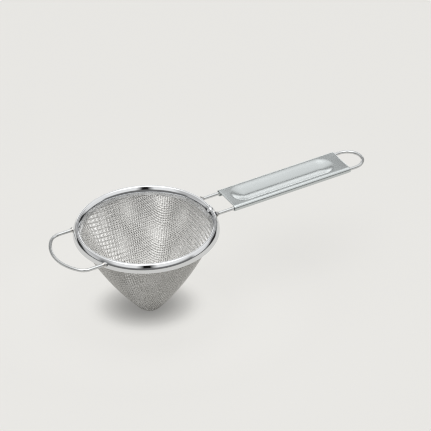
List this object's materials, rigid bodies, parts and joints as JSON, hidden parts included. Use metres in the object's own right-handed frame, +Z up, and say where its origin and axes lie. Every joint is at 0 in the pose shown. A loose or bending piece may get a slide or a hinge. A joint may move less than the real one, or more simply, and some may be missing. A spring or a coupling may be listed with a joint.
{
  "type": "double mesh conical strainer",
  "caption": "Conical stainless strainer with nested inner and outer wire mesh, rolled rim, wire handle with pressed sheet grip and hanging loop, and a wire rest loop.",
  "frame": {"origin": "centre of the rim, on the plane of the undersides of the handle and rest-loop wires, where the strainer rests on a vessel", "axes": "+X along the handle from the rim's centre to the hanging loop, +Z up out of the open mouth, the cones point to -Z"},
  "size_m": [0.217, 0.09, 0.0639],
  "materials": {
    "rim": "polished stainless steel",
    "wire": "bright drawn stainless wire",
    "fine_mesh": "bright woven stainless wire",
    "coarse_mesh": "dull woven stainless wire",
    "grip_sheet": "satin pressed stainless sheet",
    "weld": "cleaned weld metal"
  },
  "bodies": {
    "root": {"rim_band": "rim", "rim_core_hoop": "wire", "inner_mesh": "fine_mesh", "outer_mesh": "coarse_mesh", "handle_wire": "wire", "grip": "grip_sheet", "rest_loop": "wire", "handle_weld_left": "weld", "handle_weld_right": "weld", "rest_weld_left": "weld", "rest_weld_right": "weld"}
  },
  "joints": []
}
